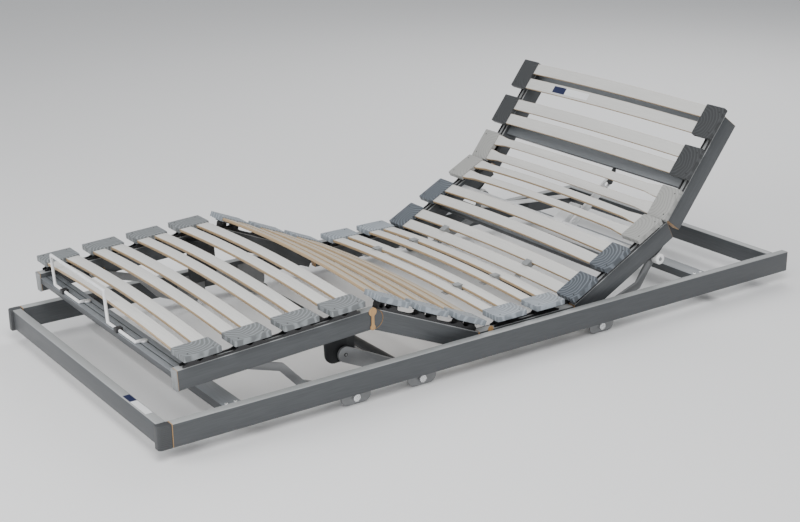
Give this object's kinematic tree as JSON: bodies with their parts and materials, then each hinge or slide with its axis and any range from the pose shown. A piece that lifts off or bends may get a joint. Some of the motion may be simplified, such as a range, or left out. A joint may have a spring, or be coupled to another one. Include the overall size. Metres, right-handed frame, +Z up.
{
  "type": "adjustable bed base",
  "caption": "Adjustable slatted bed base with twin slats in rubber-mounted caps, lifting leg section and folding back and head sections.",
  "frame": {"origin": "centre of the base's outline, on the plane under the six pivot brackets", "axes": "+X from the foot end to the head end, +Y to the far side rail, +Z up"},
  "size_m": [2, 0.9, 0.5518],
  "materials": {
    "foil_grey": "beech laminate wrapped in grey foil",
    "slat_beech": "sprung beech slat with off-white foil faces",
    "plastic_cap": "moulded grey cap with an engraved grain",
    "plastic_grey": "moulded, satin",
    "plastic_black": "moulded, satin",
    "rubber_black": "matt rubber",
    "steel_dark": "dark powder coat",
    "steel_zinc": "zinc plated",
    "steel_bright": "bright zinc plated",
    "wire_white": "white powder coat",
    "nylon_white": "turned nylon"
  },
  "bodies": {
    "base": {"side_rail_near": "foil_grey", "side_rail_far": "foil_grey", "foot_cross_rail": "foil_grey", "head_cross_rail": "foil_grey", "corner_caps": "plastic_grey", "tie_boards": "foil_grey", "frame_hangers": "steel_dark", "support_brackets": "steel_zinc", "pivot_bolts": "steel_bright", "seat_rails": "foil_grey", "seat_hinges": "steel_dark", "seat_mounts": "rubber_black", "seat_caps": "plastic_cap", "seat_slats": "slat_beech"},
    "seat_slider_1_near": {"seat_slider_1_near": "plastic_grey"},
    "seat_slider_1_far": {"seat_slider_1_far": "plastic_grey"},
    "seat_slider_2_near": {"seat_slider_2_near": "plastic_grey"},
    "seat_slider_2_far": {"seat_slider_2_far": "plastic_grey"},
    "back_slider_near": {"back_slider_near": "plastic_grey"},
    "back_slider_far": {"back_slider_far": "plastic_grey"},
    "thigh": {"thigh_rail_near": "foil_grey", "thigh_rail_far": "foil_grey", "thigh_hinges": "steel_dark", "thigh_mounts": "rubber_black", "thigh_caps": "plastic_cap", "thigh_slats": "slat_beech"},
    "calf": {"calf_rail_near": "foil_grey", "calf_rail_far": "foil_grey", "calf_foot_board": "foil_grey", "calf_end_caps": "plastic_grey", "calf_mounts": "rubber_black", "calf_caps": "plastic_cap", "calf_slats": "slat_beech", "knee_plates": "steel_dark", "mattress_retainer": "wire_white", "retainer_clips": "plastic_black"},
    "foot_stay_near": {"foot_stay_near": "steel_zinc"},
    "foot_stay_far": {"foot_stay_far": "steel_zinc"},
    "knee_lever": {"foot_lift_tube": "steel_dark", "foot_lift_arms": "steel_zinc"},
    "back": {"back_rail_near": "foil_grey", "back_rail_far": "foil_grey", "back_cross_board": "foil_grey", "back_brackets": "steel_dark", "back_mounts": "rubber_black", "back_caps": "plastic_cap", "back_slats": "slat_beech", "strut_anchor": "wire_white"},
    "head_strut": {"head_strut": "wire_white"},
    "back_lever": {"back_lift_tube": "steel_dark", "back_lift_arms": "steel_zinc"},
    "back_roller_near": {"back_roller_near": "nylon_white"},
    "back_roller_far": {"back_roller_far": "nylon_white"},
    "head": {"head_rail_near": "foil_grey", "head_rail_far": "foil_grey", "head_cross_board": "foil_grey", "head_brackets": "steel_dark", "head_mounts": "rubber_black", "head_caps": "plastic_cap", "head_slats": "slat_beech"}
  },
  "joints": [
    {"name": "thigh_lift", "type": "hinge", "parent": "base", "child": "thigh", "pos_m": [-0.091, 0, 0.086], "axis": [0, 1, 0], "range_deg": [-23.2, 10]},
    {"name": "calf_fold", "type": "hinge", "parent": "thigh", "child": "calf", "pos_m": [-0.406, 0, 0.19381], "axis": [0, 1, 0], "range_deg": [-11.3, 26.2]},
    {"name": "foot_stay_near_swing", "type": "hinge", "parent": "base", "child": "foot_stay_near", "pos_m": [-0.475, 0, 0.017], "axis": [0, 1, 0], "range_deg": [-19.9, 8.6]},
    {"name": "foot_stay_far_swing", "type": "hinge", "parent": "base", "child": "foot_stay_far", "pos_m": [-0.475, 0, 0.017], "axis": [0, 1, 0], "range_deg": [-19.9, 8.6]},
    {"name": "knee_lever_swing", "type": "hinge", "parent": "base", "child": "knee_lever", "pos_m": [-0.282, 0, 0.017], "axis": [0, 1, 0], "range_deg": [-38.3, 16.5]},
    {"name": "back_lift", "type": "hinge", "parent": "base", "child": "back", "pos_m": [0.223, 0, 0.086], "axis": [0, -1, 0], "range_deg": [-27.4, 30]},
    {"name": "back_lever_swing", "type": "hinge", "parent": "base", "child": "back_lever", "pos_m": [0.305, 0, 0.017], "axis": [0, -1, 0], "range_deg": [-31.3, 34.3]},
    {"name": "back_roller_near_spin", "type": "hinge", "parent": "back_lever", "child": "back_roller_near", "pos_m": [0.53379, -0.3945, 0.15136], "axis": [0, 1, 0], "continuous": true},
    {"name": "back_roller_far_spin", "type": "hinge", "parent": "back_lever", "child": "back_roller_far", "pos_m": [0.53379, 0.3945, 0.15136], "axis": [0, 1, 0], "continuous": true},
    {"name": "head_tilt", "type": "hinge", "parent": "back", "child": "head", "pos_m": [0.55149, 0, 0.25627], "axis": [0, -1, 0], "range_deg": [-25.5, 6]},
    {"name": "head_strut_swing", "type": "hinge", "parent": "back", "child": "head_strut", "pos_m": [0.48273, -0.1, 0.18684], "axis": [0, -1, 0], "range_deg": [-10.7, 2.6]},
    {"name": "seat_slider_1_near_slide", "type": "slide", "parent": "base", "child": "seat_slider_1_near", "axis": [0, -1, 0], "range_m": [-0.045, 0.045]},
    {"name": "seat_slider_1_far_slide", "type": "slide", "parent": "base", "child": "seat_slider_1_far", "axis": [0, 1, 0], "range_m": [-0.045, 0.045]},
    {"name": "seat_slider_2_near_slide", "type": "slide", "parent": "base", "child": "seat_slider_2_near", "axis": [0, -1, 0], "range_m": [-0.045, 0.045]},
    {"name": "seat_slider_2_far_slide", "type": "slide", "parent": "base", "child": "seat_slider_2_far", "axis": [0, 1, 0], "range_m": [-0.045, 0.045]},
    {"name": "back_slider_near_slide", "type": "slide", "parent": "back", "child": "back_slider_near", "axis": [0, -1, 0], "range_m": [-0.045, 0.045]},
    {"name": "back_slider_far_slide", "type": "slide", "parent": "back", "child": "back_slider_far", "axis": [0, 1, 0], "range_m": [-0.045, 0.045]}
  ],
  "couplings": [
    {"joint": "calf_fold", "follows": "thigh_lift", "ratio": -1.125},
    {"joint": "foot_stay_near_swing", "follows": "thigh_lift", "ratio": 0.857},
    {"joint": "foot_stay_far_swing", "follows": "thigh_lift", "ratio": 0.857},
    {"joint": "knee_lever_swing", "follows": "thigh_lift", "ratio": 1.646},
    {"joint": "back_lever_swing", "follows": "back_lift", "ratio": 1.14},
    {"joint": "head_strut_swing", "follows": "head_tilt", "ratio": 0.417}
  ]
}
